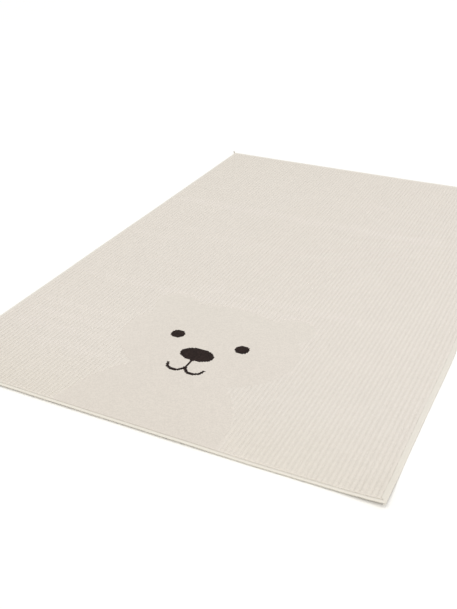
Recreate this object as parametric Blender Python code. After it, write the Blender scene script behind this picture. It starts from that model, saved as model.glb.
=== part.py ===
"""A woven children's rug, 1.00 by 1.50 m, lying flat.

The cloth is one piece with ribs along its length. A bear's head and shoulders
are left flat at one short end. Each cut side is wrapped in an overlocked yarn
edging, a channel that the cloth's edge sits in.

Metres, +Z up. The rug lies on z = 0 with its middle at the origin, its width
along X and the bear's end at -Y.
"""

import math

import bmesh
import bpy

RUG_WIDTH = 1.000
RUG_LENGTH = 1.500

FLAT_TOP = 0.0050  # upper face of the flat weave, above the floor
RIB_COUNT = 100
RIB_PITCH = 0.0098
RIB_RISE = 0.0014  # crest above the flat weave
RIB_FOOT = 0.0060  # width where a rib leaves the flat weave
RIB_CREST = 0.0036  # width of its level crest
RIB_RUN_OUT = 0.0030  # length over which a rib sinks at the bear's outline

EDGING_WIDTH = 0.0075
EDGING_HEIGHT = 0.0060
EDGING_LAP = 0.0012  # yarn above and below the cloth's edge
EDGING_WALL = 0.0025  # yarn outside the cloth's edge
EDGING_ROUND = 0.0030  # depth of the rounded outer side
EDGING_CORNER = 0.0005  # rounding of the lap's inner top edge
ROUND_STEPS = 10

GROOVE = 0.0009  # between the edging's lap and the ribbed face
CLEARANCE = 0.0003  # wherever the edging and the cloth meet

# The bear's outline is the union of these ellipses. Distances along the rug
# are measured from its front edge.
BEAR_OUTLINE = (
    # part, middle across, middle along, half-width, half-length
    ("head", 0.000, 0.330, 0.208, 0.165),
    ("left ear", -0.150, 0.455, 0.052, 0.052),
    ("right ear", 0.150, 0.455, 0.052, 0.052),
    ("shoulders", 0.000, 0.000, 0.185, 0.240),
)

CREAM_YARN = (0.74, 0.69, 0.61)
EDGING_YARN = (0.80, 0.76, 0.67)

FACE_INSET = EDGING_WIDTH + GROOVE
TONGUE_INSET = EDGING_WALL + CLEARANCE
TONGUE_FLOOR = EDGING_LAP + CLEARANCE
TONGUE_TOP = EDGING_HEIGHT - EDGING_LAP - CLEARANCE


def bear_spans(across):
    """Where a line at this place across the rug crosses the bear, as (near, far) distances from the front edge."""
    found = []
    for _, middle_across, middle_along, half_width, half_length in BEAR_OUTLINE:
        reach = 1 - ((across - middle_across) / half_width) ** 2
        if reach > 0:
            half = half_length * math.sqrt(reach)
            found.append([middle_along - half, middle_along + half])
    merged = []
    for near, far in sorted(found):
        if merged and near - merged[-1][1] < 2.5 * RIB_RUN_OUT:
            merged[-1][1] = max(merged[-1][1], far)
        else:
            merged.append([near, far])
    return [span for span in merged if span[1] > FACE_INSET]


def crest_line(across):
    """A rib's crest from the front to the back as (distance, height) pairs, sunk to the flat weave where it crosses the bear."""
    crest = FLAT_TOP + RIB_RISE
    line = [(FACE_INSET, crest)]
    for near, far in bear_spans(across):
        if near - RIB_RUN_OUT > FACE_INSET:
            line += [(near - RIB_RUN_OUT, crest), (near, FLAT_TOP)]
        else:
            line = [(FACE_INSET, FLAT_TOP)]
        line += [(far, FLAT_TOP), (far + RIB_RUN_OUT, crest)]
    return line + [(RUG_LENGTH - FACE_INSET, crest)]


def flat_line():
    return [(FACE_INSET, FLAT_TOP), (RUG_LENGTH - FACE_INSET, FLAT_TOP)]


def face_lines():
    """The lines that shape the ribbed face, from left to right, as (place across, profile) pairs."""
    border = RUG_WIDTH / 2 - FACE_INSET
    lines = [(-border, flat_line())]
    for rib in range(RIB_COUNT):
        middle = (rib - (RIB_COUNT - 1) / 2) * RIB_PITCH
        for offset, on_crest in (
            (-RIB_FOOT / 2, False),
            (-RIB_CREST / 2, True),
            (RIB_CREST / 2, True),
            (RIB_FOOT / 2, False),
        ):
            across = middle + offset
            lines.append((across, crest_line(across) if on_crest else flat_line()))
    return lines + [(border, flat_line())]


def join_rows(mesh, first, second, axis):
    """Fills between two rows of vertices, each sorted along the axis, with triangles."""
    i = j = 0
    while i < len(first) - 1 or j < len(second) - 1:
        if j == len(second) - 1 or (
            i < len(first) - 1 and first[i + 1].co[axis] <= second[j + 1].co[axis]
        ):
            mesh.faces.new((first[i], second[j], first[i + 1]))
            i += 1
        else:
            mesh.faces.new((first[i], second[j], second[j + 1]))
            j += 1


def rectangle(mesh, inset, height):
    """Four corners of the rug's plan drawn in by the inset, anticlockwise from the front left."""
    x, y = RUG_WIDTH / 2 - inset, RUG_LENGTH / 2 - inset
    return [
        mesh.verts.new((sx * x, sy * y, height))
        for sx, sy in ((-1, -1), (1, -1), (1, 1), (-1, 1))
    ]


def join_rings(mesh, one, other):
    for k in range(4):
        mesh.faces.new((one[k], one[(k + 1) % 4], other[(k + 1) % 4], other[k]))


def make_cloth():
    mesh = bmesh.new()
    rows = [
        [mesh.verts.new((across, along - RUG_LENGTH / 2, height)) for along, height in profile]
        for across, profile in face_lines()
    ]
    for left, right in zip(rows, rows[1:]):
        join_rows(mesh, left, right, axis=1)

    # The face's walls go down to the tongue, which the edging wraps.
    tongue = rectangle(mesh, TONGUE_INSET, TONGUE_TOP)
    corners = {}
    for end, near_corner, far_corner in ((0, 0, 1), (-1, 3, 2)):
        tops = [row[end] for row in rows]
        feet = [mesh.verts.new((v.co.x, v.co.y, TONGUE_TOP)) for v in tops]
        join_rows(mesh, tops, feet, axis=0)
        join_rows(mesh, feet, [tongue[near_corner], tongue[far_corner]], axis=0)
        corners[end] = feet[0], feet[-1]
    for side, front_corner, back_corner in ((0, 0, 3), (-1, 1, 2)):
        front_foot, back_foot = corners[0][side], corners[-1][side]
        mesh.faces.new((front_foot, back_foot, rows[side][-1], rows[side][0]))
        mesh.faces.new((tongue[front_corner], tongue[back_corner], back_foot, front_foot))

    tongue_floor = rectangle(mesh, TONGUE_INSET, TONGUE_FLOOR)
    base_rim = rectangle(mesh, EDGING_WIDTH + CLEARANCE, TONGUE_FLOOR)
    base = rectangle(mesh, EDGING_WIDTH + CLEARANCE, 0)
    join_rings(mesh, tongue, tongue_floor)
    join_rings(mesh, tongue_floor, base_rim)
    join_rings(mesh, base_rim, base)
    mesh.faces.new(base)
    return mesh


def edging_section():
    """The channel's section as (distance in from the rug's outer side, height) pairs: the skin from the slot's upper lip round to its lower lip, and the slot's bottom."""
    half = EDGING_HEIGHT / 2
    skin = [
        (EDGING_WIDTH, EDGING_HEIGHT - EDGING_LAP),
        (EDGING_WIDTH, EDGING_HEIGHT - EDGING_CORNER),
        (EDGING_WIDTH - EDGING_CORNER, EDGING_HEIGHT),
    ]
    for step in range(ROUND_STEPS + 1):
        turn = math.pi * step / ROUND_STEPS
        skin.append((EDGING_ROUND * (1 - math.sin(turn)), half * (1 + math.cos(turn))))
    skin += [(EDGING_WIDTH, 0), (EDGING_WIDTH, EDGING_LAP)]
    slot = [(EDGING_WALL, EDGING_LAP), (EDGING_WALL, EDGING_HEIGHT - EDGING_LAP)]
    return skin, slot


def join_sections(mesh, near, far):
    for k in range(len(near)):
        following = (k + 1) % len(near)
        mesh.faces.new((near[k], far[k], far[following], near[following]))


def make_edging(length, end_wall):
    """An edging along X, its outer side on y = 0 and the cloth on its +Y side. An end wall closes the slot at each end."""
    mesh = bmesh.new()
    skin, slot = edging_section()

    def cut(outline, x):
        return [mesh.verts.new((x, inward, height)) for inward, height in outline]

    reach = length / 2 - end_wall
    near, far = cut(skin + slot, -reach), cut(skin + slot, reach)
    join_sections(mesh, near, far)
    if not end_wall:
        mesh.faces.new(near)
        mesh.faces.new(far)
        return mesh
    for section, x in ((near, -length / 2), (far, length / 2)):
        mesh.faces.new(section[len(skin) - 1 :] + section[:1])
        end = cut(skin, x)
        join_sections(mesh, section[: len(skin)], end)
        mesh.faces.new(end)
    return mesh


def add_object(name, mesh, yarn, location=(0, 0, 0), turn=0):
    bmesh.ops.recalc_face_normals(mesh, faces=mesh.faces)
    data = bpy.data.meshes.new(name)
    mesh.to_mesh(data)
    mesh.free()
    data.materials.append(yarn)
    made = bpy.data.objects.new(name, data)
    made.location = location
    made.rotation_euler.z = math.radians(turn)
    bpy.context.scene.collection.objects.link(made)


def make_yarn(name, colour, roughness):
    yarn = bpy.data.materials.new(name)
    yarn.use_nodes = True
    surface = yarn.node_tree.nodes["Principled BSDF"]
    surface.inputs["Base Color"].default_value = (*colour, 1)
    surface.inputs["Roughness"].default_value = roughness
    surface.inputs["Metallic"].default_value = 0
    yarn.diffuse_color = (*colour, 1)
    return yarn


for leftover in list(bpy.data.objects):
    bpy.data.objects.remove(leftover, do_unlink=True)

rug_yarn = make_yarn("cream_rug_yarn", CREAM_YARN, 0.92)
edging_yarn = make_yarn("pale_edging_yarn", EDGING_YARN, 0.85)

add_object("rug_cloth", make_cloth(), rug_yarn)

# The long sides' edgings run the whole length and close the corners. The short
# ones fit between them and are open at the ends, where the cloth runs through.
short_edging = RUG_WIDTH - 2 * (EDGING_WIDTH + CLEARANCE)
for name, length, end_wall, location, turn in (
    ("edging_front", short_edging, 0, (0, -RUG_LENGTH / 2, 0), 0),
    ("edging_right", RUG_LENGTH, EDGING_WALL, (RUG_WIDTH / 2, 0, 0), 90),
    ("edging_back", short_edging, 0, (0, RUG_LENGTH / 2, 0), 180),
    ("edging_left", RUG_LENGTH, EDGING_WALL, (-RUG_WIDTH / 2, 0, 0), 270),
):
    add_object(name, make_edging(length, end_wall), edging_yarn, location, turn)
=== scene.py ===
"""A woven children's rug: cream ribs, a bear's head left flat at one end, and overlocked edges.

Metres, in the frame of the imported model: width along X, the bear's end at -Y, floor at z = 0.
"""

import math

import bmesh
import bpy
import mathutils
import numpy as np
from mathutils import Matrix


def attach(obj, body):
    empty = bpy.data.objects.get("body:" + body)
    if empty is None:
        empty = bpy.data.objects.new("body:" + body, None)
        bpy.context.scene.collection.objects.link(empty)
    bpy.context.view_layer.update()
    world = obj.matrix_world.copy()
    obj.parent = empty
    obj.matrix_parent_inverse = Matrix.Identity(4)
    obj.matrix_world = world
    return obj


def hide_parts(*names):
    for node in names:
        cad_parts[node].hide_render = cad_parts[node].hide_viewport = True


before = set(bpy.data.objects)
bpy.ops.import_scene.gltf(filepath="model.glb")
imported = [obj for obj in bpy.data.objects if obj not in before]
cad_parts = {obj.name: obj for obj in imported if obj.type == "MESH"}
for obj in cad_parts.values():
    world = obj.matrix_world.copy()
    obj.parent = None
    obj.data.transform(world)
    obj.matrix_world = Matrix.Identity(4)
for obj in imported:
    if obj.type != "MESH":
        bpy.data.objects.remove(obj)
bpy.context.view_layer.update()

# ---------------------------------------------------------------------------
# The ground cloth. A flat weave of matt cream polypropylene yarn, about 5 mm
# thick with its latex-stiffened back, woven in one piece and cut to size. Its
# sides step in under the edging, which grips them.
# ---------------------------------------------------------------------------

rug_half_width, rug_half_length = 0.500, 0.750
ground_height = 0.0050
ground_cell = 0.0125  # of the mesh that follows the floor
ground_side = (
    # inset from the rug's outer edge, height, from the face down to the back
    (0.0074, ground_height),
    (0.0076, 0.0035),
    (0.0052, 0.0034),
    (0.0052, 0.0016),
    (0.0068, 0.0015),
    (0.0068, 0.0),
)
millimetre = 0.001


def add(tree, kind, inputs=None, **settings):
    """Adds a node to a tree, with its settings, and fills or links its inputs by name or number."""
    made = tree.nodes.new(kind)
    for name, value in settings.items():
        setattr(made, name, value)
    for name, value in (inputs or {}).items():
        if isinstance(value, bpy.types.NodeSocket):
            tree.links.new(value, made.inputs[name])
        else:
            made.inputs[name].default_value = value
    return made


def calc(tree, operation, first, second=0.0, third=0.0):
    """A sum in a tree, each of whose terms is a number or another node's output."""
    return add(
        tree, "ShaderNodeMath", {0: first, 1: second, 2: third}, operation=operation
    ).outputs[0]


def new_geometry_tree(name, sizes):
    """A Geometry Nodes tree with a named input for each size, and those inputs as sockets."""
    tree = bpy.data.node_groups.new(name, "GeometryNodeTree")
    tree.interface.new_socket(
        "Geometry", in_out="INPUT", socket_type="NodeSocketGeometry"
    )
    for size, (kind, value) in sizes.items():
        socket = tree.interface.new_socket(
            size, in_out="INPUT", socket_type="NodeSocket" + kind
        )
        if value is not None:
            socket.default_value = value
    tree.interface.new_socket(
        "Geometry", in_out="OUTPUT", socket_type="NodeSocketGeometry"
    )
    return tree, tree.nodes.new("NodeGroupInput").outputs


def grow(piece, tree, **sizes):
    """Runs a tree on an object and leaves a plain mesh object of the same name in its place."""
    name = piece.name
    modifier = piece.modifiers.new(tree.name, "NODES")
    modifier.node_group = tree
    for socket in tree.interface.items_tree:
        if socket.in_out == "INPUT" and socket.name in sizes:
            modifier[socket.identifier] = sizes[socket.name]
    bpy.context.scene.collection.objects.link(piece)
    graph = bpy.context.evaluated_depsgraph_get()
    mesh = bpy.data.meshes.new_from_object(
        piece.evaluated_get(graph), preserve_all_data_layers=True, depsgraph=graph
    )
    piece.modifiers.clear()
    bpy.data.objects.remove(piece, do_unlink=True)
    return lay(name, mesh)


# No rug lies quite straight or flat. How far each side strays, in millimetres,
# at places along it in metres: out from its straight line, up off the floor,
# and how far in from the side that lift is felt, also in millimetres. The front
# right corner stands proud.
strays = {
    "front": (
        # place along, out, up, reach of the lift
        (-0.50, -1.0, 2.1, 60),
        (-0.30, -1.2, 1.9, 45),
        (-0.18, 0.0, 2.0, 45),
        (-0.06, 0.2, 1.4, 45),
        (0.10, 1.2, 1.7, 45),
        (0.24, 0.6, 0.0, 45),
        (0.34, -0.6, 0.0, 45),
        (0.39, -0.8, 0.9, 50),
        (0.42, -0.9, 1.4, 60),
        (0.46, -0.1, 3.9, 90),
        (0.50, 0.5, 7.2, 110),
    ),
    "right": (
        (-0.75, 0.8, 0.0, 45),
        (-0.70, 0.6, 0.0, 45),
        (-0.60, 0.0, 0.0, 45),
        (-0.50, 0.2, 0.0, 45),
        (-0.29, 1.4, 0.0, 45),
        (-0.15, 0.2, 0.0, 45),
        (0.75, 0.0, 0.0, 45),
    ),
    "back": (
        (-0.50, 1.0, 0.0, 45),
        (-0.27, -0.8, 0.0, 45),
        (0.05, -1.0, 0.0, 45),
        (0.15, -1.6, 0.0, 45),
        (0.27, 0.6, 0.0, 45),
        (0.50, 0.0, 0.0, 45),
    ),
    "left": (
        (-0.75, 2.0, 0.5, 45),
        (-0.50, 2.3, 0.0, 45),
        (-0.30, 1.8, 0.0, 45),
        (-0.12, 2.3, 0.0, 45),
        (0.20, 1.1, 0.0, 45),
        (0.45, 1.3, 0.0, 45),
        (0.70, 1.9, 0.0, 45),
        (0.75, 1.8, 0.0, 45),
    ),
}
reach_out = 120  # how far in from a side its straying out is felt, in millimetres


def eased(share):
    """A share from 0 to 1 that sets off and arrives gently."""
    return share * share * (3 - 2 * share)


def lay(name, mesh):
    """Lays a mesh made flat and straight as the rug lies, and returns it as an object."""
    place = np.empty(3 * len(mesh.vertices), np.float32)
    mesh.vertices.foreach_get("co", place)
    place = place.reshape(-1, 3).astype(float)
    x, y = place[:, 0].copy(), place[:, 1].copy()
    for side, outward, along, inset in (
        ("front", (0, -1), x, y + rug_half_length),
        ("right", (1, 0), y, rug_half_width - x),
        ("back", (0, 1), x, rug_half_length - y),
        ("left", (-1, 0), y, x + rug_half_width),
    ):
        station, *amounts = np.array(strays[side]).T
        before = np.clip(np.searchsorted(station, along) - 1, 0, len(station) - 2)
        share = eased(np.clip((along - station[before]) / np.diff(station)[before], 0, 1))
        out, up, reach_up = (a[before] * (1 - share) + a[before + 1] * share for a in amounts)
        for amount, reach, direction in (
            (out, reach_out, (*outward, 0)),
            (up, reach_up, (0, 0, 1)),
        ):
            moved = amount * millimetre * eased(np.clip(1 - inset / (reach * millimetre), 0, 1))
            place += moved[:, None] * np.array(direction)
    mesh.vertices.foreach_set("co", place.astype(np.float32).ravel())
    mesh.update()
    mesh.name = name
    laid = bpy.data.objects.new(name, mesh)
    bpy.context.scene.collection.objects.link(laid)
    return laid


def outward_mesh(name, shape):
    """Turns a closed shape's faces outwards and leaves it as a mesh."""
    bmesh.ops.recalc_face_normals(shape, faces=shape.faces)
    mesh = bpy.data.meshes.new(name)
    shape.to_mesh(mesh)
    shape.free()
    return mesh


def make_ground():
    """The cloth as one closed slab: a gridded face and back, joined by a stepped side."""
    slab = bmesh.new()
    across = round(2 * rug_half_width / ground_cell)
    along = round(2 * rug_half_length / ground_cell)

    def layer(inset, height):
        x, y = rug_half_width - inset, rug_half_length - inset
        return [
            [
                (x * (2 * i / across - 1), y * (2 * j / along - 1), height)
                for i in range(across + 1)
            ]
            for j in range(along + 1)
        ]

    def rim(grid):
        return (
            grid[0][:-1]
            + [row[-1] for row in grid[:-1]]
            + grid[-1][:0:-1]
            + [row[0] for row in grid[:0:-1]]
        )

    rims = []
    for step in ground_side:
        grid = layer(*step)
        if step in (ground_side[0], ground_side[-1]):
            corners = [[slab.verts.new(at) for at in row] for row in grid]
            for near, far in zip(corners, corners[1:]):
                for i in range(across):
                    slab.faces.new((near[i], near[i + 1], far[i + 1], far[i]))
            rims.append(rim(corners))
        else:
            rims.append([slab.verts.new(at) for at in rim(grid)])
    for upper, lower in zip(rims, rims[1:]):
        for i in range(len(upper)):
            slab.faces.new((upper[i - 1], lower[i - 1], lower[i], upper[i]))
    return outward_mesh("ground_cloth", slab)


ground = lay("ground_cloth", make_ground())

# The yarn's colour carries painted light: a slow gradient, palest towards the
# right side and darkest at the front left corner, painted warm light at the front,
# and painted highlight bands across the rug where its folds catch the light.
painted_light_gradient = (
    # power of the place across and of the place along, how much painted light
    (0, 0, 0.004),
    (1, 0, 0.027),
    (0, 1, 0.008),
    (2, 0, 0.016),
    (1, 1, 0.015),
    (0, 2, -0.023),
)
painted_light_bands = (
    # place along, from and to across, half-width, how much painted light
    (0.295, -0.50, 0.38, 0.036, 0.020),
    (-0.197, -0.16, 0.34, 0.026, 0.019),
    (-0.243, -0.50, 0.20, 0.022, 0.017),
    (0.078, -0.28, 0.18, 0.026, 0.009),
    (0.105, -0.50, -0.22, 0.030, 0.010),
    (0.025, -0.50, -0.30, 0.022, 0.011),
    (0.430, -0.50, 0.16, 0.020, 0.006),
    (0.482, -0.16, 0.18, 0.024, 0.009),
    (-0.405, -0.50, -0.20, 0.020, 0.012),
    (-0.455, -0.50, -0.20, 0.018, 0.015),
    (-0.510, -0.50, -0.20, 0.022, 0.016),
    (-0.568, -0.40, -0.12, 0.022, 0.016),
    (-0.745, -0.56, 0.30, 0.030, 0.014),
    # This last one is no fold but wide: painted light that offsets the shade of the proudest loops'
    # deeper grooves.
    (-0.480, -0.56, -0.12, 0.260, 0.011),
)
# How far a painted highlight band takes to die away at its ends.
painted_band_end = 0.06  # length over which a fold dies away
# Painted warm light: towards the front edge the colour loses some of its blue.
painted_warmth_over = 0.20  # metres from the front edge
most_painted_warmth = 0.025  # share of the blue that is lost at that edge


def paint_light_and_shade(piece):
    """Tells each point of a piece how much painted light and painted warm light its colour carries,
    as shares.
    """
    place = np.empty(3 * len(piece.data.vertices), np.float32)
    piece.data.vertices.foreach_get("co", place)
    x, y, _ = place.reshape(-1, 3).T
    paler = sum(amount * x**across * y**along for across, along, amount in painted_light_gradient)
    for along, left, right, half_width, amount in painted_light_bands:
        across_it = np.clip(1 - np.abs(y - along) / half_width, 0, 1)
        along_it = np.clip(np.minimum(x - left, right - x) / painted_band_end, 0, 1)
        paler += amount * eased(across_it) * along_it
    yellower = most_painted_warmth * np.clip(1 - (y + rug_half_length) / painted_warmth_over, 0, 1)
    for name, amount in (("paler", paler), ("yellower", yellower)):
        # The edging comes with painted light of its own, which stays.
        if name not in piece.data.attributes:
            piece.data.attributes.new(name, "FLOAT", "POINT").data.foreach_set("value", amount)


paint_light_and_shade(ground)


def new_material(name, roughness, gloss=0.25):
    """A material with its tree and its Principled BSDF. Yarn has half a smooth surface's gloss."""
    material = bpy.data.materials.new(name)
    material.use_nodes = True
    surface = material.node_tree.nodes["Principled BSDF"]
    surface.inputs["Roughness"].default_value = roughness
    surface.inputs["Specular IOR Level"].default_value = gloss
    return material, material.node_tree, surface


# Yarn grain: the fine lie of the fibres and the slow drift in tone that any
# length of dyed yarn has. Every finish on the rug uses it.
grain = bpy.data.node_groups.new("yarn_grain", "ShaderNodeTree")
for size, value in (("Fibre Scale", 900.0), ("Drift Scale", 7.0)):
    socket = grain.interface.new_socket(
        size, in_out="INPUT", socket_type="NodeSocketFloat"
    )
    socket.default_value = value
for output in ("Fibre", "Drift"):
    grain.interface.new_socket(
        output, in_out="OUTPUT", socket_type="NodeSocketFloat"
    )
sizes = grain.nodes.new("NodeGroupInput").outputs
here = add(grain, "ShaderNodeTexCoord").outputs["Object"]
out = grain.nodes.new("NodeGroupOutput").inputs
for output, scale, detail in (("Fibre", "Fibre Scale", 3.0), ("Drift", "Drift Scale", 2.0)):
    noise = add(
        grain, "ShaderNodeTexNoise", {"Vector": here, "Scale": sizes[scale], "Detail": detail}
    )
    grain.links.new(noise.outputs[0], out[output])

# Painted light on the yarn: the yarn's own colour, lightened and greyed by painted
# light, and with less blue under painted warm light.
painted_light_group = bpy.data.node_groups.new("aged_yarn", "ShaderNodeTree")
for name, in_out, kind, value in (
    ("Colour", "INPUT", "NodeSocketColor", (0.7, 0.7, 0.6, 1)),
    ("Fading", "INPUT", "NodeSocketVector", (1.1, 1.0, 1.3)),
    ("Yellowing", "INPUT", "NodeSocketVector", (-0.05, -0.25, -1.0)),
    ("Colour", "OUTPUT", "NodeSocketColor", None),
):
    socket = painted_light_group.interface.new_socket(name, in_out=in_out, socket_type=kind)
    if value is not None:
        socket.default_value = value
sizes = painted_light_group.nodes.new("NodeGroupInput").outputs
changes = [
    add(
        painted_light_group,
        "ShaderNodeVectorMath",
        {
            0: sizes[change],
            "Scale": add(painted_light_group, "ShaderNodeAttribute", attribute_name=amount).outputs["Fac"],
        },
        operation="SCALE",
    ).outputs[0]
    for change, amount in (("Fading", "paler"), ("Yellowing", "yellower"))
]
change = add(painted_light_group, "ShaderNodeVectorMath", {0: changes[0], 1: changes[1]}).outputs[0]
changed = add(
    painted_light_group,
    "ShaderNodeVectorMath",
    {0: change, 1: sizes["Colour"], 2: sizes["Colour"]},
    operation="MULTIPLY_ADD",
).outputs[0]
painted_light_group.links.new(changed, painted_light_group.nodes.new("NodeGroupOutput").inputs[0])


def mixed(tree, mask, low, high):
    """A colour that runs from one to another as the mask runs from 0 to 1."""
    return add(tree, "ShaderNodeMix", {0: mask, 6: low, 7: high}, data_type="RGBA").outputs[2]


def tinted(tree, mask, low, high):
    """The same between two plain colours, given without their alpha."""
    return mixed(tree, mask, (*low, 1), (*high, 1))


def humps(tree, place, pitch):
    """A row of humps, each of which rises from 0 to 1 and falls again within one pitch."""
    return calc(
        tree, "ABSOLUTE", calc(tree, "SINE", calc(tree, "MULTIPLY", place, math.pi / pitch))
    )


def dress(tree, surface, colour, relief, strength, depth):
    """Gives a finish its colour, and its relief as a bump of some strength and depth."""
    bump = add(tree, "ShaderNodeBump", {"Height": relief, "Strength": strength, "Distance": depth})
    tree.links.new(colour, surface.inputs["Base Color"])
    tree.links.new(bump.outputs[0], surface.inputs["Normal"])


flat_dark, flat_light = (0.630, 0.585, 0.524), (0.746, 0.694, 0.624)
cream_dark, cream_light = (0.662, 0.617, 0.556), (0.777, 0.724, 0.656)
black_dark, black_light = (0.006, 0.003, 0.002), (0.032, 0.018, 0.015)
stitch_across, stitch_along = 0.00245, 0.0028  # one stitch of the flat weave
fibre_relief = 0.5  # the height of the fibres' lie, as a share of a stitch's

ground_finish, tree, surface = new_material("cream_flat_weave", 0.92)
grain_here = add(tree, "ShaderNodeGroup", {"Fibre Scale": 1400.0}, node_tree=grain).outputs
here = add(tree, "ShaderNodeTexCoord").outputs["Object"]
place = add(tree, "ShaderNodeSeparateXYZ", {0: here}).outputs
warp = humps(tree, place["X"], stitch_across)
weft = humps(tree, place["Y"], stitch_along)
swell = calc(tree, "MULTIPLY", warp, weft)  # of a stitch, from 0 round its sides to 1 on its crown
stitch_height = calc(tree, "MULTIPLY_ADD", grain_here["Fibre"], fibre_relief, swell)

# The bear's face is black yarn woven into the flat cloth, so its edges step
# from stitch to stitch. It is a plain teddy's: round eyes, an oval nose, and a
# mouth of one upright stroke with a curve on each side. Its places are measured
# from the rug's middle line and its front edge.
eye_across, eye_along, eye_radius = 0.080, 0.334, 0.0165
nose_along, nose_half_width, nose_half_length = 0.275, 0.040, 0.025
mouth_top, mouth_corner, curl_radius, stroke_half = 0.252, 0.226, 0.021, 0.0036
stroke_past_corner = 0.004  # so that the upright stroke joins both curls

on_stitch = add(
    tree,
    "ShaderNodeVectorMath",
    {0: here, 1: (stitch_across, stitch_along, 1.0)},
    operation="SNAP",
).outputs[0]
stitch = add(tree, "ShaderNodeSeparateXYZ", {0: on_stitch}).outputs
side_x = calc(tree, "ABSOLUTE", calc(tree, "ADD", stitch["X"], stitch_across / 2))
along = calc(tree, "ADD", stitch["Y"], rug_half_length + stitch_along / 2)


def apart(tree, x, along, middle_x, middle_along, half_width=1.0, half_length=1.0):
    """How far a place is from a point, in metres, or in half-sizes of an oval round it."""
    dx = calc(tree, "DIVIDE", calc(tree, "SUBTRACT", x, middle_x), half_width)
    dy = calc(tree, "DIVIDE", calc(tree, "SUBTRACT", along, middle_along), half_length)
    return calc(
        tree,
        "SQRT",
        calc(tree, "ADD", calc(tree, "POWER", dx, 2.0), calc(tree, "POWER", dy, 2.0)),
    )


bear_outline = (
    # middle across, middle along from the front edge, half-width, half-length
    (0.000, 0.330, 0.208, 0.165),  # head
    (-0.150, 0.455, 0.052, 0.052),  # left ear
    (0.150, 0.455, 0.052, 0.052),  # right ear
    (0.000, 0.000, 0.185, 0.240),  # shoulders
)


def from_bear(tree, x, along):
    """How far a place is from the bear: below 1 inside its outline."""
    nearest, *others = (apart(tree, x, along, *oval) for oval in bear_outline)
    for other in others:
        nearest = calc(tree, "MINIMUM", nearest, other)
    return nearest


def both(first, second):
    """A mask on the flat weave of what lies in both of two others."""
    return calc(tree, "MULTIPLY", first, second)


def below(value, limit):
    """A mask on the flat weave of where a value is below a limit."""
    return calc(tree, "LESS_THAN", value, limit)


eyes = below(apart(tree, side_x, along, eye_across, eye_along), eye_radius)
nose = below(apart(tree, side_x, along, 0.0, nose_along, nose_half_width, nose_half_length), 1.0)
upright = both(
    below(side_x, stroke_half),
    both(below(along, mouth_top), below(mouth_corner - stroke_past_corner, along)),
)
off_curl = calc(
    tree, "SUBTRACT", apart(tree, side_x, along, curl_radius, mouth_corner), curl_radius
)
curls = both(
    below(calc(tree, "ABSOLUTE", off_curl), stroke_half),
    below(along, mouth_corner),
)
face = eyes
for mark in (nose, upright, curls):
    face = calc(tree, "MAXIMUM", face, mark)

# Each stitch's yarn differs a little in tone from the next, and a painted shade
# darkens it round its sides, where it sinks between its neighbours.
of_stitch, of_painted_crown_light = 0.7, 0.3  # shares of a stitch's tone
of_stitches, of_drift = 0.8, 0.2  # shares of the cloth's tone
stitch_tone_and_shade = calc(
    tree,
    "MULTIPLY_ADD",
    add(tree, "ShaderNodeTexWhiteNoise", {"Vector": on_stitch}).outputs["Value"],
    of_stitch,
    calc(tree, "MULTIPLY", calc(tree, "SQRT", swell), of_painted_crown_light),
)
tone = calc(
    tree,
    "MULTIPLY_ADD",
    stitch_tone_and_shade,
    of_stitches,
    calc(tree, "MULTIPLY", grain_here["Drift"], of_drift),
)

# The bear's own yarn lies flat and is a little darker than the rest. From the
# middle of its face to the front edge a painted shade darkens it a little more.
# The painted warm light is weaker on the ground's yarn than on the loops.
painted_shade_up_to, painted_shade_gone_from = 0.24, 0.44  # along from the front edge
painted_shade_tint, unshaded_tint = (0.995, 0.987, 0.989), (1.0, 1.0, 1.0)
flat_painted_warmth_tint = (-0.02, -0.10, -0.4)
out_of_painted_shade = add(
    tree, "ShaderNodeMapRange", {"Value": along, "From Min": painted_shade_up_to, "From Max": painted_shade_gone_from}
).outputs[0]
flat_yarn_with_painted_shade = add(
    tree,
    "ShaderNodeVectorMath",
    {
        0: tinted(tree, tone, flat_dark, flat_light),
        1: tinted(tree, out_of_painted_shade, painted_shade_tint, unshaded_tint),
    },
    operation="MULTIPLY",
).outputs[0]
colour = mixed(
    tree,
    below(from_bear(tree, side_x, along), 1.0),
    tinted(tree, tone, cream_dark, cream_light),
    flat_yarn_with_painted_shade,
)
coloured = mixed(tree, face, colour, tinted(tree, stitch_tone_and_shade, black_dark, black_light))
with_painted_light = add(
    tree,
    "ShaderNodeGroup",
    {"Colour": coloured, "Yellowing": flat_painted_warmth_tint},
    node_tree=painted_light_group,
)
dress(tree, surface, with_painted_light.outputs[0], stitch_height, strength=0.6, depth=0.0004)

ground.data.materials.append(ground_finish)
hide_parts("rug_cloth")
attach(ground, "root")

# ---------------------------------------------------------------------------
# The ribs. Rows of raised loops of the same cream yarn, one row to a rib,
# which the loom leaves out where the bear's head and shoulders lie.
# ---------------------------------------------------------------------------

rib_count, rib_pitch = 100, 0.0098
loop_pitch, loop_length, loop_width, loop_rise = 0.0056, 0.0105, 0.0088, 0.0008
loops_along = 264
ribs_to_a_piece = 25
foot_depth = 0.0003  # of a loop's foot in the ground
shoulder_spread, shoulder_rise = 0.80, 0.82  # of a loop's shoulder, as shares of its size
# No loop is quite in line: by how much one strays, leans or differs in size.
most_astray = (0.00034, 0.0003, 0.00004)  # metres
most_turned = (0.01, 0.015, 0.05)  # radians
most_uneven = (0.04, 0.03, 0.04)  # shares of its size
# Share by which the proudest loops stand higher, and from where to where that fades.
most_proud, proud_from_left, proud_from_front = 0.35, (-0.45, -0.05), (-0.55, -0.20)


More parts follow.
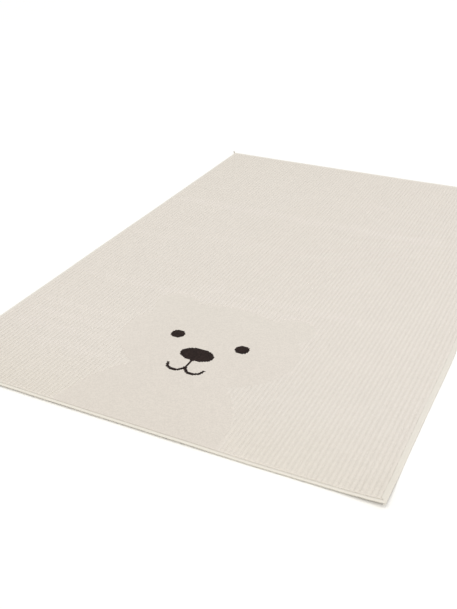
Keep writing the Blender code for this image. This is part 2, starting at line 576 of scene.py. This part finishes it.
def make_loop():
    """One raised loop: a low six-sided cushion, loop_width across its two sides along the rib."""
    cushion = bmesh.new()
    foot, shoulder = (
        [
            cushion.verts.new(
                (
                    spread * loop_width / math.sqrt(3) * math.sin(math.tau * i / 6),
                    spread * loop_length / 2 * math.cos(math.tau * i / 6),
                    height,
                )
            )
            for i in range(6)
        ]
        for spread, height in ((1.0, -foot_depth), (shoulder_spread, shoulder_rise * loop_rise))
    )
    top = cushion.verts.new((0, 0, loop_rise))
    for i in range(6):
        cushion.faces.new((foot[i - 1], foot[i], shoulder[i], shoulder[i - 1]))
        cushion.faces.new((shoulder[i - 1], shoulder[i], top))
    cushion.faces.new(foot)
    mesh = outward_mesh("loop", cushion)
    mesh.shade_smooth()
    mesh.materials.append(rib_finish)
    return bpy.data.objects.new("loop", mesh)


ribs_tree, sizes = new_geometry_tree(
    "rows_of_loops",
    {
        "Loop": ("Object", None),
        "Finish": ("Material", None),
        "Ribs": ("Int", ribs_to_a_piece),
        "Rib Pitch": ("Float", rib_pitch),
        "First Rib": ("Float", 0.0),
        "Loops Along": ("Int", loops_along),
        "Loop Pitch": ("Float", loop_pitch),
        "Ground Height": ("Float", ground_height),
        "Most Proud": ("Float", most_proud),
        "Seed": ("Int", 1),
    },
)


def less_one(count, pitch):
    """How long a row of so many is, from the middle of its first to that of its last."""
    return calc(ribs_tree, "MULTIPLY", calc(ribs_tree, "SUBTRACT", count, 1.0), pitch)


def uneven(middle, spread):
    """A vector that differs at random from loop to loop, either side of its middle."""
    low, high = ([middle + sign * amount for amount in spread] for sign in (-1, 1))
    return add(
        ribs_tree,
        "FunctionNodeRandomValue",
        {0: low, 1: high, "Seed": sizes["Seed"]},
        data_type="FLOAT_VECTOR",
    ).outputs[0]


def position(tree):
    """Where each point is, as three outputs by axis."""
    return add(
        tree, "ShaderNodeSeparateXYZ", {0: add(tree, "GeometryNodeInputPosition").outputs[0]}
    ).outputs


rows = add(
    ribs_tree,
    "GeometryNodeMeshGrid",
    {
        "Size X": less_one(sizes["Ribs"], sizes["Rib Pitch"]),
        "Size Y": less_one(sizes["Loops Along"], sizes["Loop Pitch"]),
        "Vertices X": sizes["Ribs"],
        "Vertices Y": sizes["Loops Along"],
    },
).outputs[0]
# Every other rib starts half a loop on.
number = add(ribs_tree, "GeometryNodeInputIndex").outputs[0]
row = calc(ribs_tree, "FLOOR", calc(ribs_tree, "DIVIDE", number, sizes["Loops Along"]))
stagger = calc(
    ribs_tree,
    "MULTIPLY",
    calc(ribs_tree, "SUBTRACT", calc(ribs_tree, "MODULO", row, 2.0), 0.5),
    calc(ribs_tree, "MULTIPLY", sizes["Loop Pitch"], 0.5),
)
middle_x = calc(
    ribs_tree,
    "ADD",
    sizes["First Rib"],
    calc(ribs_tree, "MULTIPLY", less_one(sizes["Ribs"], sizes["Rib Pitch"]), 0.5),
)
in_line = add(
    ribs_tree,
    "ShaderNodeCombineXYZ",
    {"X": middle_x, "Y": stagger, "Z": sizes["Ground Height"]},
).outputs[0]
stood = add(
    ribs_tree,
    "GeometryNodeSetPosition",
    {
        "Geometry": rows,
        "Offset": add(
            ribs_tree, "ShaderNodeVectorMath", {0: uneven(0, most_astray), 1: in_line}
        ).outputs[0],
    },
).outputs[0]
place = position(ribs_tree)
bear_distance = from_bear(
    ribs_tree, place["X"], calc(ribs_tree, "ADD", place["Y"], rug_half_length)
)
kept = add(
    ribs_tree,
    "GeometryNodeDeleteGeometry",
    {"Geometry": stood, "Selection": calc(ribs_tree, "LESS_THAN", bear_distance, 1.0)},
    domain="POINT",
).outputs[0]
# The loops stand prouder at the front left, where they have been trodden least.
proud_across, proud_along = (
    add(
        ribs_tree,
        "ShaderNodeMapRange",
        {"Value": place[axis], "From Min": start, "From Max": end, "To Min": 1.0, "To Max": 0.0},
    ).outputs[0]
    for axis, start, end in (("X", *proud_from_left), ("Y", *proud_from_front))
)
proud = calc(
    ribs_tree,
    "MULTIPLY_ADD",
    calc(ribs_tree, "MULTIPLY", proud_across, proud_along),
    sizes["Most Proud"],
    1.0,
)
one_loop = add(ribs_tree, "GeometryNodeObjectInfo", {"Object": sizes["Loop"]})
taller = add(ribs_tree, "ShaderNodeCombineXYZ", {"X": 1.0, "Y": 1.0, "Z": proud}).outputs[0]
loops = add(
    ribs_tree,
    "GeometryNodeInstanceOnPoints",
    {
        "Points": kept,
        "Instance": one_loop.outputs["Geometry"],
        "Rotation": uneven(0, most_turned),
        "Scale": add(
            ribs_tree,
            "ShaderNodeVectorMath",
            {0: uneven(1, most_uneven), 1: taller},
            operation="MULTIPLY",
        ).outputs[0],
    },
).outputs[0]
seed_step = 50.0  # from the draw of a loop's place and size to that of its tone
toned = add(
    ribs_tree,
    "GeometryNodeStoreNamedAttribute",
    {
        "Geometry": loops,
        "Name": "loop_tone",
        "Value": add(
            ribs_tree,
            "FunctionNodeRandomValue",
            {2: 0.0, 3: 1.0, "Seed": calc(ribs_tree, "ADD", sizes["Seed"], seed_step)},
            data_type="FLOAT",
        ).outputs[1],
    },
    data_type="FLOAT",
    domain="INSTANCE",
).outputs[0]
realized = add(ribs_tree, "GeometryNodeRealizeInstances", {0: toned}).outputs[0]
finished = add(
    ribs_tree, "GeometryNodeSetMaterial", {"Geometry": realized, "Material": sizes["Finish"]}
)
ribs_tree.links.new(finished.outputs[0], ribs_tree.nodes.new("NodeGroupOutput").inputs[0])

loop_dark, loop_light = (0.699, 0.651, 0.588), (0.742, 0.691, 0.625)
of_loops, of_drift = 0.5, 0.5  # shares of the ribs' tone
rib_finish, tree, surface = new_material("cream_loops", 0.90)
grain_here = add(tree, "ShaderNodeGroup", {"Fibre Scale": 1600.0}, node_tree=grain).outputs
loop_tone = add(tree, "ShaderNodeAttribute", attribute_name="loop_tone").outputs["Fac"]
drift = calc(tree, "MULTIPLY", grain_here["Drift"], of_drift)
tone = calc(tree, "MULTIPLY_ADD", loop_tone, of_loops, drift)
with_painted_light = add(
    tree, "ShaderNodeGroup", {"Colour": tinted(tree, tone, loop_dark, loop_light)}, node_tree=painted_light_group
)
dress(tree, surface, with_painted_light.outputs[0], grain_here["Fibre"], strength=0.5, depth=0.0004)

loop = make_loop()
for piece in range(rib_count // ribs_to_a_piece):
    name = f"rib_loops_{piece + 1}"
    ribs = grow(
        bpy.data.objects.new(name, bpy.data.meshes.new(name)),
        ribs_tree,
        **{
            "Loop": loop,
            "Finish": rib_finish,
            "First Rib": (piece * ribs_to_a_piece - (rib_count - 1) / 2) * rib_pitch,
            "Seed": piece + 1,
        },
    )
    paint_light_and_shade(ribs)
    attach(ribs, "root")
bpy.data.objects.remove(loop, do_unlink=True)

# ---------------------------------------------------------------------------
# The edging. Pale yarn whipped round the cut edges by an overlock machine,
# each turn close against the last. The long sides' edgings turn the corners.
# ---------------------------------------------------------------------------

turn_pitch, turn_depth, turn_slant = 0.0028, 0.0004, 0.5
steps_to_a_turn = 4
turn_fullness = 0.7  # power of a turn's hump: below 1 it is fuller than a sine's
corner_radius, corner_steps = 0.0035, 6
weld_within = 0.00005  # points at a corner that come closer than this are one
# Painted light that lifts the shade on the edging's lower turns, most at the floor.
most_painted_low_light, painted_low_light_up_to = 0.10, 0.0055  # share paler at the floor, height where that ends

# The edging's sections from the cloth over the bead and down to the floor:
# distance in from the rug's outer side, height. On the short sides, which cross
# the ribs, the yarn sinks between the bead and the cloth. On the long sides it
# slopes down on to the cloth.
short_side_section = (
    (0.0074, 0.0046),
    (0.0068, 0.0048),
    (0.0062, 0.0052),
    (0.0054, 0.0057),
    (0.0042, 0.0060),
    (0.0028, 0.0060),
    (0.0015, 0.0057),
    (0.0005, 0.0050),
    (0.0000, 0.0041),
    (0.0002, 0.0031),
    (0.0009, 0.0022),
    (0.0020, 0.0016),
    (0.0042, 0.0012),
    (0.0074, 0.0003),
)
long_side_section = (
    (0.0119, 0.0052),
    (0.0105, 0.0058),
    (0.0090, 0.0061),
    (0.0077, 0.0060),
    (0.0064, 0.0056),
    (0.0052, 0.0050),
    (0.0040, 0.0042),
    (0.0029, 0.0033),
    (0.0018, 0.0023),
    (0.0008, 0.0012),
    (0.0000, 0.0003),
    (0.0008, 0.0001),
    (0.0030, 0.0001),
    (0.0072, 0.0001),
    (0.0072, 0.0049),
)

edging_tree, sizes = new_geometry_tree(
    "overlocked_turns",
    {
        "Section": ("Object", None),
        "Finish": ("Material", None),
        "Corner Radius": ("Float", corner_radius),
        "Turn Pitch": ("Float", turn_pitch),
        "Turn Depth": ("Float", turn_depth),
        "Turn Slant": ("Float", turn_slant),
        "Most Rubbed": ("Float", most_painted_low_light),
        "Rubbed Up To": ("Float", painted_low_light_up_to),
        "Half Width": ("Float", rug_half_width),
        "Half Length": ("Float", rug_half_length),
    },
)
rounded = add(
    edging_tree,
    "GeometryNodeFilletCurve",
    {"Curve": sizes["Geometry"], "Count": corner_steps, "Radius": sizes["Corner Radius"]},
    mode="POLY",
).outputs[0]
stepped = add(
    edging_tree,
    "GeometryNodeResampleCurve",
    {
        "Curve": rounded,
        "Length": calc(edging_tree, "DIVIDE", sizes["Turn Pitch"], float(steps_to_a_turn)),
    },
    mode="LENGTH",
).outputs[0]
level = add(
    edging_tree, "GeometryNodeSetCurveNormal", {"Curve": stepped}, mode="Z_UP"
).outputs[0]
# Each point keeps its place along the path and its place round the section.
run = add(edging_tree, "GeometryNodeCaptureAttribute", {"Geometry": level}, domain="POINT")
run.capture_items.new("FLOAT", "Length")
edging_tree.links.new(
    add(edging_tree, "GeometryNodeSplineParameter").outputs["Length"], run.inputs[1]
)
section = add(edging_tree, "GeometryNodeObjectInfo", {"Object": sizes["Section"]})
around = add(
    edging_tree,
    "GeometryNodeCaptureAttribute",
    {"Geometry": section.outputs["Geometry"]},
    domain="POINT",
)
around.capture_items.new("FLOAT", "Factor")
around.capture_items.new("VECTOR", "Place")
edging_tree.links.new(
    add(edging_tree, "GeometryNodeSplineParameter").outputs["Factor"], around.inputs[1]
)
edging_tree.links.new(add(edging_tree, "GeometryNodeInputPosition").outputs[0], around.inputs[2])
swept = add(
    edging_tree,
    "GeometryNodeCurveToMesh",
    {"Curve": run.outputs[0], "Profile Curve": around.outputs[0], "Fill Caps": True},
).outputs[0]
# At a corner no part of the section reaches past the mitre line, and what meets
# there becomes one.
inset = calc(
    edging_tree,
    "MULTIPLY",
    add(edging_tree, "ShaderNodeSeparateXYZ", {0: around.outputs[2]}).outputs["X"],
    -1.0,
)
at = position(edging_tree)
held_x, held_y = (
    calc(
        edging_tree,
        "MULTIPLY",
        calc(edging_tree, "SIGN", at[axis]),
        calc(
            edging_tree,
            "MINIMUM",
            calc(edging_tree, "ABSOLUTE", at[axis]),
            calc(edging_tree, "SUBTRACT", sizes[half_side], inset),
        ),
    )
    for axis, half_side in (("X", "Half Width"), ("Y", "Half Length"))
)
mitred = add(
    edging_tree,
    "GeometryNodeSetPosition",
    {
        "Geometry": swept,
        "Position": add(
            edging_tree, "ShaderNodeCombineXYZ", {"X": held_x, "Y": held_y, "Z": at["Z"]}
        ).outputs[0],
    },
).outputs[0]
welded = add(
    edging_tree, "GeometryNodeMergeByDistance", {"Geometry": mitred, "Distance": weld_within}
).outputs[0]
turns = calc(
    edging_tree,
    "ADD",
    calc(edging_tree, "DIVIDE", run.outputs[1], sizes["Turn Pitch"]),
    calc(edging_tree, "MULTIPLY", around.outputs[1], sizes["Turn Slant"]),
)
swell = calc(edging_tree, "POWER", humps(edging_tree, turns, 1.0), turn_fullness)
sunk = calc(
    edging_tree, "MULTIPLY", calc(edging_tree, "SUBTRACT", swell, 1.0), sizes["Turn Depth"]
)
whipped = add(
    edging_tree,
    "GeometryNodeSetPosition",
    {
        "Geometry": welded,
        "Offset": add(
            edging_tree,
            "ShaderNodeVectorMath",
            {0: add(edging_tree, "GeometryNodeInputNormal").outputs[0], "Scale": sunk},
            operation="SCALE",
        ).outputs[0],
    },
).outputs[0]
# Painted light on the lower turns, most of all down by the floor, where they lie in shade.
painted_low_light = add(
    edging_tree,
    "ShaderNodeMapRange",
    {
        "Value": position(edging_tree)["Z"],
        "From Max": sizes["Rubbed Up To"],
        "To Min": sizes["Most Rubbed"],
        "To Max": 0.0,
    },
).outputs[0]
with_painted_low_light = add(
    edging_tree,
    "GeometryNodeStoreNamedAttribute",
    {"Geometry": whipped, "Name": "paler", "Value": painted_low_light},
    data_type="FLOAT",
    domain="POINT",
).outputs[0]
smooth = add(edging_tree, "GeometryNodeSetShadeSmooth", {0: with_painted_low_light}).outputs[0]
realized = add(edging_tree, "GeometryNodeRealizeInstances", {0: smooth}).outputs[0]
finished = add(
    edging_tree, "GeometryNodeSetMaterial", {"Geometry": realized, "Material": sizes["Finish"]}
)
edging_tree.links.new(finished.outputs[0], edging_tree.nodes.new("NodeGroupOutput").inputs[0])

edging_dark, edging_light = (0.703, 0.665, 0.597), (0.738, 0.700, 0.632)
edging_painted_light_tint = (1.0, 1.0, 1.0)  # alike in all three colours
edging_finish, tree, surface = new_material("pale_overlock_yarn", 0.80)
grain_here = add(
    tree, "ShaderNodeGroup", {"Fibre Scale": 1800.0, "Drift Scale": 40.0}, node_tree=grain
).outputs
plain = tinted(tree, grain_here["Drift"], edging_dark, edging_light)
with_painted_light = add(
    tree, "ShaderNodeGroup", {"Colour": plain, "Fading": edging_painted_light_tint}, node_tree=painted_light_group
)
dress(tree, surface, with_painted_light.outputs[0], grain_here["Fibre"], strength=0.4, depth=0.0003)


def polyline(name, points, closed=False):
    """A line of straight stretches from point to point, as an object."""
    curve = bpy.data.curves.new(name, "CURVE")
    curve.dimensions = "3D"
    spline = curve.splines.new("POLY")
    spline.points.add(len(points) - 1)
    for point, at in zip(spline.points, points):
        point.co = (*at, 1)
    spline.use_cyclic_u = closed
    return bpy.data.objects.new(name, curve)


# A path runs anticlockwise round the rug along its outer side. Seen from above
# its section lies to the left of it.
short_side, long_side = (
    polyline(name, [(-inset, -height, 0) for inset, height in section], closed=True)
    for name, section in (
        ("short_side_section", short_side_section),
        ("long_side_section", long_side_section),
    )
)
# The short sides' bead runs on over the start of the long sides' edging, which
# is a little further in from the corner.
bead_end_inset, start_inset = 0.0020, 0.0040
bead_end_x, start_x = rug_half_width - bead_end_inset, rug_half_width - start_inset
for name, node, section_shape, points in (
    (
        "overlock_front",
        "edging_front",
        short_side,
        ((-bead_end_x, -rug_half_length, 0), (bead_end_x, -rug_half_length, 0)),
    ),
    (
        "overlock_back",
        "edging_back",
        short_side,
        ((bead_end_x, rug_half_length, 0), (-bead_end_x, rug_half_length, 0)),
    ),
    (
        "overlock_right",
        "edging_right",
        long_side,
        (
            (start_x, -rug_half_length, 0),
            (rug_half_width, -rug_half_length, 0),
            (rug_half_width, rug_half_length, 0),
            (start_x, rug_half_length, 0),
        ),
    ),
    (
        "overlock_left",
        "edging_left",
        long_side,
        (
            (-start_x, rug_half_length, 0),
            (-rug_half_width, rug_half_length, 0),
            (-rug_half_width, -rug_half_length, 0),
            (-start_x, -rug_half_length, 0),
        ),
    ),
):
    edging = grow(polyline(name, points), edging_tree, Section=section_shape, Finish=edging_finish)
    paint_light_and_shade(edging)
    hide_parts(node)
    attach(edging, "root")
for section_shape in (short_side, long_side):
    bpy.data.objects.remove(section_shape, do_unlink=True)

# ---------------------------------------------------------------------------
# The thread ends. The overlock machine finishes at the back left corner, and
# its cut threads stand a few millimetres out of the last turn there.
# ---------------------------------------------------------------------------

thread_thickness, thread_root_height = 0.0018, 0.0022
thread_taper = 0.35  # share of its thickness that a thread has lost at its cut end
thread_sides, thread_steps = 6, 7
thread_ends = (
    # in millimetres: root in from the left side and from the back, lean across and along, height
    (2.2, 3.4, -2.6, 0.4, 8.4),
    (3.0, 3.8, -1.8, 0.9, 10.4),
    (3.9, 3.2, -0.6, 0.6, 9.6),
    (2.8, 2.4, -2.4, 1.8, 8.6),
    (3.6, 4.6, -1.2, -0.8, 9.8),
    (4.6, 3.8, -0.2, -0.2, 8.8),
    (2.4, 4.4, -2.2, -0.6, 9.2),
)


def make_thread_ends():
    """Short tubes, each leaning over more and growing thinner towards its cut end."""
    tubes = bmesh.new()
    for from_left, from_back, lean_across, lean_along, height in thread_ends:
        rings = []
        for step in range(thread_steps + 1):
            risen = step / thread_steps
            x = (from_left + lean_across * risen**2) * millimetre - rug_half_width
            y = rug_half_length - (from_back - lean_along * risen**2) * millimetre
            z = thread_root_height + height * risen * millimetre
            radius = thread_thickness / 2 * (1 - thread_taper * risen)
            turns_round = [math.tau * side / thread_sides for side in range(thread_sides)]
            rings.append(
                [
                    tubes.verts.new((x + radius * math.cos(turn), y + radius * math.sin(turn), z))
                    for turn in turns_round
                ]
            )
        for lower, upper in zip(rings, rings[1:]):
            for side in range(thread_sides):
                tubes.faces.new((lower[side - 1], lower[side], upper[side], upper[side - 1]))
        tubes.faces.new(rings[0])
        tubes.faces.new(rings[-1])
    mesh = outward_mesh("overlock_thread_ends", tubes)
    mesh.shade_smooth()
    mesh.materials.append(edging_finish)
    return mesh


threads = lay("overlock_thread_ends", make_thread_ends())
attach(threads, "root")

# ---------------------------------------------------------------------------
# The studio. A wide white floor that the rug lies on, one soft bank of lamps
# over it, and the camera that looks down along the rug from its front right.
# ---------------------------------------------------------------------------

floor_half_side = 30
floor_top = -0.0002  # just under the rug, whose back would share its plane
# A warm white, a touch whiter away from the camera, where less light falls.
floor_near, floor_far = (0.925, 0.914, 0.889), (0.985, 0.983, 0.977)
near_y, far_y = -0.8, 3.7

floor_mesh = bpy.data.meshes.new("studio_floor")
floor_mesh.from_pydata(
    [
        (floor_half_side * x, floor_half_side * y, floor_top)
        for x, y in ((-1, -1), (1, -1), (1, 1), (-1, 1))
    ],
    [],
    [(0, 1, 2, 3)],
)
floor = bpy.data.objects.new("studio_floor", floor_mesh)
bpy.context.scene.collection.objects.link(floor)
floor_finish, tree, surface = new_material("white_floor", 0.9, gloss=0.0)
here = add(tree, "ShaderNodeTexCoord").outputs["Object"]
place = add(tree, "ShaderNodeSeparateXYZ", {0: here}).outputs
away = add(
    tree, "ShaderNodeMapRange", {"Value": place["Y"], "From Min": near_y, "From Max": far_y}
).outputs[0]
tree.links.new(tinted(tree, away, floor_near, floor_far), surface.inputs["Base Color"])
floor_mesh.materials.append(floor_finish)

world = bpy.data.worlds.new("studio")
bpy.context.scene.world = world
world.use_nodes = True
backdrop = world.node_tree.nodes["Background"]
backdrop.inputs["Color"].default_value = (1, 1, 1, 1)
backdrop.inputs["Strength"].default_value = 0.53

# A very wide bank of lamps high up, to the front and the right of the rug. It is
# aimed past the rug, whose right side is a little the brighter.
lamps = bpy.data.lights.new("lamp_bank", "AREA")
lamps.shape = "DISK"
lamps.size = 34
lamps.energy = 4390
lamp_bank = bpy.data.objects.new("lamp_bank", lamps)
lamp_bank.location = (3.5, -6.5, 18.8)
aimed_at = mathutils.Vector((2.5, 1.5, 0.0))
lamp_bank.rotation_euler = (aimed_at - lamp_bank.location).to_track_quat("-Z", "Y").to_euler()
bpy.context.scene.collection.objects.link(lamp_bank)

camera = bpy.data.cameras.new("camera")
camera.sensor_fit = "AUTO"
camera.sensor_width = 36
camera.lens = 48.53  # 820.9 pixels in a picture 609 high
camera.clip_end = 100
viewer = bpy.data.objects.new("camera", camera)
viewer.location = (0.7225, -1.7821, 0.9705)
viewer.rotation_euler = [math.radians(turn) for turn in (60.577, 0.422, 26.052)]
bpy.context.scene.collection.objects.link(viewer)
bpy.context.scene.camera = viewer
bpy.context.scene.view_settings.view_transform = "Standard"
